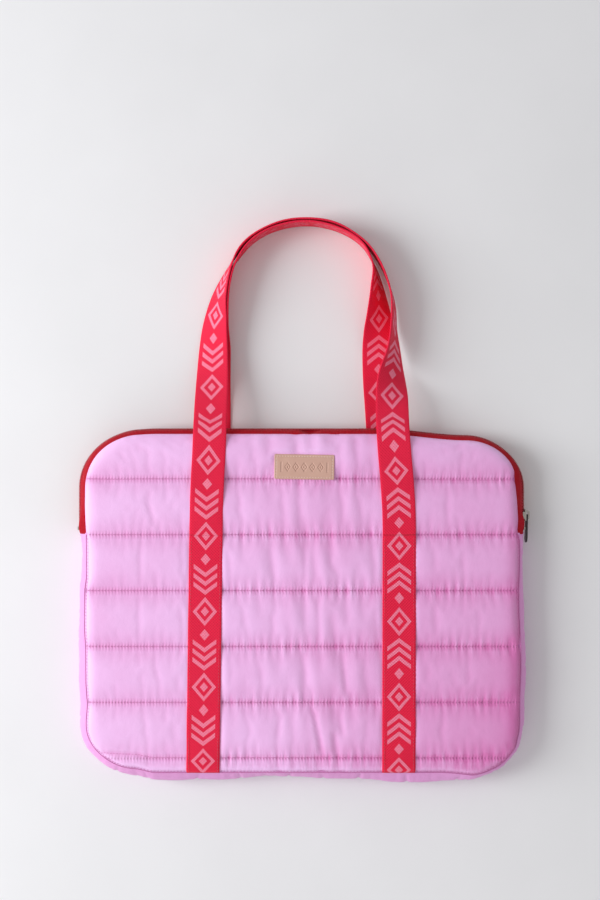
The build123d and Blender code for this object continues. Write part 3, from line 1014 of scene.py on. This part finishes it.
def seam_binding():
    """Tape folded over the seam allowance inside the front panel's edge, all the way round."""
    low, high = node_box("lower_front_seam_binding")
    inset = HALF_WIDTH - high[0]
    s = np.arange(0, ROUND, 3.0)
    h = np.array([low[2], high[2], high[2], low[2]])[None, :] - MIDDLE_Z + 0 * s[:, None]
    out = bulge(h) - [inset, inset, inset + 1.2, inset + 1.2] + 0.15 * wave_noise(s[:, None], h, 20, 44)
    return swept("front_seam_binding", s, np.stack([h, out], axis=-1), BINDING, closed=True)


# ---- Webbing ----

LEG_Z = DEPTH + 2.0
BAND_SAMPLES = 9

# The front handle's middle line, from its left foot over the arch to its right foot, and its roll:
# 0 is flat and 90 stands on edge, face outward.
FRONT_HANDLE = [
    (-86.0, FOLD_Y, DEPTH - 0.45, 0),
    (-85.8, FOLD_Y + 12.0, DEPTH + 1.0, 0),
    (-85.4, FOLD_Y + 28.0, LEG_Z - 0.2, 0),
    (-84.4, 116.0, LEG_Z, 0),
    (-83.2, 138.0, LEG_Z, 0),
    (-82.4, 158.0, LEG_Z - 0.2, 0),
    (-81.8, 178.0, 29.8, 3),
    (-81.2, 204.0, 19.6, 12),
    (-80.8, 231.0, 12.8, 26),
    (-78.8, 259.0, 12.5, 43),
    (-73.5, 286.0, 15.0, 65),
    (-62.5, 314.0, 16.0, 84),
    (-47.5, 332.5, 16.0, 88),
    (-23.0, 346.0, 16.0, 88),
    (4.0, 350.0, 16.0, 88),
    (32.0, 345.5, 16.0, 87),
    (56.0, 331.0, 16.0, 87),
    (71.5, 311.0, 16.2, 86),
    (80.0, 290.0, 16.8, 84),
    (84.0, 269.0, 17.5, 79),
    (84.6, 248.0, 17.5, 74),
    (83.6, 226.0, 18.5, 57),
    (82.0, 206.0, 22.5, 30),
    (81.6, 186.0, 28.6, 10),
    (82.2, 158.0, LEG_Z - 0.2, 1),
    (83.6, 138.0, LEG_Z, 0),
    (85.6, 116.0, LEG_Z, 0),
    (87.2, FOLD_Y + 28.0, LEG_Z - 0.2, 0),
    (87.8, FOLD_Y + 12.0, DEPTH + 1.0, 0),
    (88.0, FOLD_Y, DEPTH - 0.45, 0),
]

# The rear webbing runs up the back panel, out past the top edge, round inside the front handle and
# back down. Only its ends have stations of their own.
NEST_FROM, NEST_TO = 9, 16
NEST_GAP = WEB_THICK + 1.2


def flat_run(*places):
    """Stations of webbing that lies flat on the ground."""
    return [(x, y, WEB_THICK / 2 + 0.05, 0) for x, y in places]


REAR_LEFT = [
    (-87.0, -152.2, 3.4, 0),
    (-87.0, -150.6, 1.9, 0),
    (-86.9, -147.0, 1.0, 0),
    *flat_run((-86.8, -139.0), (-86.4, -122.0), (-85.8, -90.0), (-85.0, -48.0), (-84.0, 4.0)),
    *flat_run((-83.0, 56.0), (-81.8, 106.0), (-80.8, 144.0), (-80.5, 176.0)),
    (-80.5, 204.0, 1.4, 3),
    (-79.5, 232.0, 4.7, 16),
]
REAR_RIGHT = [
    (66.0, 309.5, 15.8, 82),
    (69.0, 289.0, 14.4, 64),
    (70.5, 269.0, 11.4, 44),
    (71.0, 249.0, 6.3, 20),
    (71.2, 228.0, 1.9, 3),
    *flat_run((72.0, 203.0), (74.0, 174.0), (75.6, 144.0), (77.4, 106.0), (79.8, 56.0)),
    *flat_run((82.2, 4.0), (84.4, -48.0), (85.8, -90.0), (86.4, -122.0), (86.8, -139.0)),
    (86.9, -147.0, 1.0, 0),
    (87.0, -150.6, 1.9, 0),
    (87.0, -152.2, 3.4, 0),
]


def stations_at(stations, s):
    """Catmull-Rom places and rolls at s, which counts the stations."""
    table = np.array(stations, float)
    k = np.minimum(s.astype(int), len(table) - 2)
    t = (s - k)[:, None]
    before, value = table[np.maximum(k - 1, 0)], table[k]
    after, later = table[k + 1], table[np.minimum(k + 2, len(table) - 1)]
    return 0.5 * (
        2 * value
        + (after - before) * t
        + (2 * before - 5 * value + 4 * after - later) * t**2
        + (3 * value - before - 3 * after + later) * t**3
    )


def band(stations, samples):
    """Middle, direction across and face direction of webbing along its stations."""
    last = len(stations) - 1
    s = np.linspace(0, last, last * samples + 1)
    at = stations_at(stations, s)
    ahead = stations_at(stations, np.minimum(s + 0.02, last))
    behind = stations_at(stations, np.maximum(s - 0.02, 0))
    tangent = ahead[:, :3] - behind[:, :3]
    tangent /= np.linalg.norm(tangent, axis=1)[:, None]
    outward = np.cross((0, 0, 1), tangent)
    outward /= np.linalg.norm(outward, axis=1)[:, None]
    above = np.cross(tangent, outward)
    turn = np.radians(at[:, 3])[:, None]
    across = above * np.sin(turn) - outward * np.cos(turn)
    face = above * np.cos(turn) + outward * np.sin(turn)
    return at[:, :3], across, face


def nested_stations():
    """The rear handle's stations where it lies against the inside of the front one."""
    middle, _, face = band(FRONT_HANDLE, 1)
    inner = middle - face * NEST_GAP
    return [(*inner[i], FRONT_HANDLE[i][3]) for i in range(NEST_FROM, NEST_TO + 1)]


def ribbon(name, middle, across, face, motif_start, motif_way=1):
    """Webbing whose rounded flat section follows its middle line. Its mesh coordinates measure round the
    section and along the pattern, which starts at motif_start and runs up or down the length."""
    edge, half = WEB_WIDTH / 2, WEB_THICK / 2
    top = np.linspace(0.5 - edge, edge - 0.5, 15)
    round_a, round_b = np.array([edge - 0.12, edge, edge - 0.12]), np.array([0.7, 0, -0.7]) * half
    a = np.concatenate([top, round_a, top[::-1], -round_a])
    b = np.concatenate([0 * top + half, round_b, 0 * top - half, -round_b])
    right, left = np.array([-0.1, 0, 0.1]), np.array([-0.1, 0, 0])
    u = np.concatenate([edge + top, 2 * edge + right, 3 * edge - top[::-1], 4 * edge + left])
    rows, columns = len(middle), len(a)
    length = lengths(middle)
    curl = 0.25 * wave_noise(length, 0 * length, 55, 51)
    thick = b + curl[:, None] * (a / edge) ** 2
    points = middle[:, None] + across[:, None] * a[:, None] + face[:, None] * thick[..., None]
    uvs = np.stack([np.tile(u, rows), np.repeat(motif_start + motif_way * length, columns)], axis=1) * MM
    piece = add_mesh(name, points.reshape(-1, 3), tube_faces(rows, columns), WEBBING, uvs)
    close_seam(piece, 4 * edge * MM)
    return piece


def close_seam(piece, full):
    """Carries the mesh coordinates on to full where the section's last column joins its first."""
    layer = piece.data.uv_layers[0].data
    values = np.zeros(len(layer) * 2, np.float32)
    layer.foreach_get("uv", values)
    values = values.reshape(-1, 2)
    for face in piece.data.polygons:
        corners = slice(face.loop_start, face.loop_start + face.loop_total)
        u = values[corners, 0]
        if face.loop_total == 4 and u.max() - u.min() > full / 2:
            u[u < full / 2] = full
    layer.foreach_set("uv", values.ravel())


STRAP_LEAN = {"left": (-88.9, -86.0), "right": (87.6, 88.0)}
STRAP_FOOT_Y = -(HALF_HEIGHT - SEAM_INSET) - 0.2
STRAP_ROLL = 8.0
STRAP_RUN = np.linspace(STRAP_FOOT_Y, FOLD_Y, 130)


def strap_middle(word, y):
    """The middle line of a sewn strap, which rolls down into the bottom seam."""
    foot, top = STRAP_LEAN[word]
    x = foot + (top - foot) * (y - STRAP_FOOT_Y) / (FOLD_Y - STRAP_FOOT_Y)
    roll = np.sqrt(1 - (1 - np.clip((y - STRAP_FOOT_Y) / STRAP_ROLL, 0, 1)) ** 2)
    z = SEAM_Z + (strap_height(y) - WEB_THICK / 2 - SEAM_Z) * roll
    return np.stack([x, y, z], axis=1)


def sewn_straps():
    """The front straps below the flap. The pattern runs on from one to the handle and down the other."""
    for word in ("left", "right"):
        middle = strap_middle(word, STRAP_RUN)
        tangent = np.gradient(middle, axis=0)
        tangent /= np.linalg.norm(tangent, axis=1)[:, None]
        across = np.tile([1.0, 0, 0], (len(middle), 1))
        face = np.cross(across, tangent)
        if word == "left":
            pattern = (0.0, 1)
        else:
            pattern = (2 * lengths(middle)[-1] + lengths(band(FRONT_HANDLE, BAND_SAMPLES)[0])[-1], -1)
        piece = ribbon(f"front_strap_run_{word}", middle, across, face, *pattern)
        named(piece, "webbing", f"front_strap_{word}")
        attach(piece, "bag")
        strap_stitches(word, middle, tangent, face)


def strap_stitches(word, middle, tangent, face):
    """Two rows along the strap, inside its edges."""
    step = lengths(middle)
    at = np.arange(4.0, step[-1] - 2.0, 3.1)
    places, runs, normals = (
        np.stack([np.interp(at, step, axis) for axis in part.T], axis=1) for part in (middle, tangent, face)
    )
    places = places + normals * WEB_THICK / 2
    aside = np.array([WEB_WIDTH / 2 - 1.9, 0, 0])
    places = np.concatenate([places - aside, places + aside])
    runs, normals = np.tile(runs, (2, 1)), np.tile(normals, (2, 1))
    sewn(stitches(f"strap_stitches_{word}", places, runs, normals, RED_THREAD, 2.3, 0.26))


def handles():
    strap = lengths(strap_middle("left", STRAP_RUN))[-1]
    front = ribbon("front_handle", *band(FRONT_HANDLE, BAND_SAMPLES), motif_start=strap)
    named(front, "webbing", "front_handle_webbing")
    hinge = JOINTS["front_handle_swing"]["pos_m"][2]
    start, end = (0, (FOLD_Y + 1) * MM, hinge), (0, (FOLD_Y + 16) * MM, hinge)
    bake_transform(front)

    stations = REAR_LEFT + nested_stations() + REAR_RIGHT
    rear = ribbon("rear_webbing", *band(stations, BAND_SAMPLES), motif_start=20.0)
    named(rear, "webbing", "rear_handle_webbing", "rear_strap_left", "rear_strap_right")
    hinge = JOINTS["rear_handle_swing"]["pos_m"][2]
    start, end = (0, REAR_HINGE_Y * MM, hinge), (0, (REAR_HINGE_Y + 14) * MM, hinge)
    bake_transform(rear)


# ---- Stitching ----


def stitches(name, places, runs, normals, thread, length, radius):
    """Stitches of a length, in thread of a radius: one at each place, along its run, dipping at its ends."""
    places, runs, normals = (np.asarray(part)[:, None, None] for part in (places, runs, normals))
    reach = np.array([-1.0, -0.8, 0.0, 0.8, 1.0])[:, None, None] * length / 2
    girth = np.array([0.35, 0.85, 1.0, 0.85, 0.35])[:, None, None] * radius
    lift = np.array([-1.6, -0.5, 0.35, -0.5, -1.6])[:, None, None] * radius
    turn = np.linspace(0, math.tau, 5, endpoint=False)[:, None]
    points = places + runs * reach + normals * (lift + girth * np.sin(turn))
    points = points + np.cross(normals, runs) * (girth * np.cos(turn))
    block = tube_faces(5, 5)
    faces = [[index + 25 * k for index in face] for k in range(len(places)) for face in block]
    return add_mesh(name, points.reshape(-1, 3), faces, thread)


def sewn(piece, bends=False):
    """Attaches sewing to the bag, or, for sewing on the front panel, bakes its transform into its mesh."""
    if bends:
        bend_with_flap(piece)
    else:
        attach(piece, "bag")


def on_face(x, y):
    """Points on the quilted face as it is before its cloth settles."""
    return np.stack([x, y, quilt_height(x, y, SEAM_INSET) + gathers(x, y)], axis=1)


def quilt_rows():
    """Places of the front quilting stitches, left out under the straps and the label."""
    low, high = node_box("label_patch")
    x, y = np.meshgrid(np.arange(-HALF_WIDTH, HALF_WIDTH, QUILT_STITCH), QUILT_LINES)
    inside = edge_distance(x, y, SEAM_INSET) > 2.0
    sewn_over = (np.abs(np.abs(x) - STRAP_X) < WEB_WIDTH / 2 + 1.5) & (y < FOLD_Y + 1)
    under_label = (x > low[0]) & (x < high[0]) & (y > low[1]) & (y < high[1])
    shown = inside & ~sewn_over & ~under_label
    return on_face(x[shown], y[shown])


def quilting():
    places = quilt_rows()
    runs = np.tile([1.0, 0, 0], (len(places), 1))
    up = np.tile([0, 0, 1.0], (len(places), 1))
    front = stitches("front_quilting", places + (0, 0, 0.1), runs, up, PINK_THREAD, 1.7, 0.3)
    sewn(front, bends=True)
    turned = places * (-1, 1, -1) + (0, 0, DEPTH - 0.1)
    sewn(stitches("back_quilting", turned, runs, -up, PINK_THREAD, 1.7, 0.3))


def seam_threads():
    """The tight line of thread that shows in the seams between the gusset and the two panels."""
    s = np.arange(0.5, LOWER_U, 1.4)
    turn = np.linspace(0, math.tau, 7, endpoint=False)
    radius = 0.32
    for side, word in ((-1, "back"), (1, "front")):
        h = side * (SEAM_H + 0.2 + radius * np.sin(turn))[None, :] + 0 * s[:, None]
        inset = SEAM_INSET - 0.5 + radius * np.cos(turn) + 0.12 * np.sin(s * math.tau / 2.8)[:, None]
        loop = np.stack([h, bulge(h) - inset], axis=-1)
        sewn(swept(f"{word}_seam_thread", s, loop, SEAM_THREAD))


def edge_stitching():
    """Top stitching just inside the front panel's edge below the fold, and the coil's sewing."""
    x, y, nx, ny = along(np.arange(4.0, LOWER_U - 4.0, 3.0))
    inset = SEAM_INSET + 1.1
    places = on_face(x - nx * inset, y - ny * inset)
    tilt = np.stack([nx * 0.6, ny * 0.6, 0 * nx + 0.8], axis=1)
    runs = np.stack([-ny, nx, 0 * nx], axis=1)
    sewn(stitches("edge_stitching", places, runs, tilt, PINK_THREAD, 1.8, 0.22))

    s = np.arange(LOWER_U + 3, ROUND - 3, 2.6)
    _, _, nx, ny = along(s)
    for side, word in ((-1, "rear"), (1, "front")):
        h = side * 3.9 + 0 * s
        out = seam_out(h) + 0.62
        runs = side_points(s + 1.0, h, out) - side_points(s - 1.0, h, out)
        runs /= np.linalg.norm(runs, axis=1)[:, None]
        normals = np.stack([nx, ny, 0 * nx], axis=1)
        places = side_points(s, h, out)
        piece = stitches(f"{word}_coil_sewing", places, runs, normals, RED_THREAD, 2.0, 0.2)
        sewn(piece, bends=side > 0)


# ---- Label ----

LABEL_CORNER = 1.4
LABEL_TURN = math.radians(-1.0)
LABEL_SPIN = np.array([
    (math.cos(LABEL_TURN), -math.sin(LABEL_TURN)),
    (math.sin(LABEL_TURN), math.cos(LABEL_TURN)),
])


def label():
    """Leatherette patch with rounded edges and a pressed row of diamonds, sewn on round its edge."""
    low, high = node_box("label_patch")
    centre, reach = (low + high)[:2] / 2, (high - low)[:2] / 2
    flat = np.stack(np.meshgrid(np.linspace(-1, 1, 163), np.linspace(-1, 1, 67)), axis=-1) * reach
    past = np.abs(flat) - (reach - LABEL_CORNER)
    beyond = np.maximum(np.linalg.norm(np.maximum(past, 0), axis=-1, keepdims=True), LABEL_CORNER)
    rounded = np.sign(flat) * (reach - LABEL_CORNER + past * LABEL_CORNER / beyond)
    flat = np.where((past > 0).all(axis=-1, keepdims=True), rounded, flat)

    rim = (reach - np.abs(flat)).min(axis=-1)
    crown = 0.45 * np.sqrt(1 - (1 - np.clip(rim / 0.7, 0, 1)) ** 2) - 0.25 * hump(rim, 1.7, 0.5)
    top = LABEL_Z + 0.75 + crown - 0.42 * pressed_motif(flat[..., 0], flat[..., 1])
    turned = flat @ LABEL_SPIN.T + centre
    face = np.dstack([turned, top]).reshape(-1, 3)
    back = np.dstack([turned, 0 * top + LABEL_Z]).reshape(-1, 3)
    rows, columns = top.shape
    index = np.arange(rows * columns).reshape(rows, columns)
    edge = np.concatenate([index[0], index[1:, -1], index[-1, -2::-1], index[-2:0:-1, 0]])
    patch = closed_layer("label", face, back, grid_faces(rows, columns), edge, LEATHER)
    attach(named(patch, "label_leather", "label_patch"), "front_flap")
    label_stitches(centre, *(reach - 1.7))


def pressed_motif(x, y):
    """1 where the label's diamonds and bars are pressed in, and 0 elsewhere."""
    pitch = 7.4
    near = np.mod(x + pitch / 2, pitch) - pitch / 2
    size = np.abs(near) / 3.0 + np.abs(y) / 4.4
    rings = smoothstep(1.02, 0.94, size) * smoothstep(0.62, 0.70, size) + smoothstep(0.34, 0.26, size)
    in_row = smoothstep(18.6, 18.4, np.abs(x))
    bars = smoothstep(0.55, 0.4, np.abs(np.abs(x) - 20.6)) * smoothstep(4.6, 4.4, np.abs(y))
    return np.clip(rings * in_row + bars, 0, 1)


def label_stitches(centre, reach_x, reach_y):
    """A row of stitches along each edge of the label."""
    pitch = 2.5
    x = np.arange(-reach_x + 1, reach_x - 0.5, pitch)
    y = np.arange(-reach_y + 1, reach_y - 0.5, pitch)
    rows = [(x, 0 * x - reach_y), (x, 0 * x + reach_y), (0 * y - reach_x, y), (0 * y + reach_x, y)]
    flat = np.concatenate([np.stack(row, axis=1) for row in rows]) @ LABEL_SPIN.T + centre
    ways = np.array([(1, 0)] * 2 * len(x) + [(0, 1)] * 2 * len(y)) @ LABEL_SPIN.T
    zero = np.zeros(len(flat))
    places, runs, normals = (np.column_stack(part) for part in (
        (flat, zero + LABEL_Z + 1.0), (ways, zero), (zero, zero, zero + 1.0)
    ))
    piece = stitches("label_stitches", places, runs, normals, TAN_THREAD, 1.7, 0.3)
    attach(piece, "front_flap")


# ---- What stays as CAD ----


def finish_cad_nodes():
    """Gives each CAD node that still shows its own material."""
    materials = {
        "slider_body": NICKEL,
        "slider_bridge": NICKEL,
        "zip_end_stops": NICKEL,
        "pull_tab": GUNMETAL,
    }
    for node, material in materials.items():
        obj = frame["nodes"][node]
        for cad_slot in obj.material_slots:
            cad_slot.link = "OBJECT"
            cad_slot.material = material


studio()
quilted_panels()
inner_layers()
gusset()
zip_pieces()
sewn_straps()
handles()
quilting()
edge_stitching()
seam_threads()
label()
finish_cad_nodes()
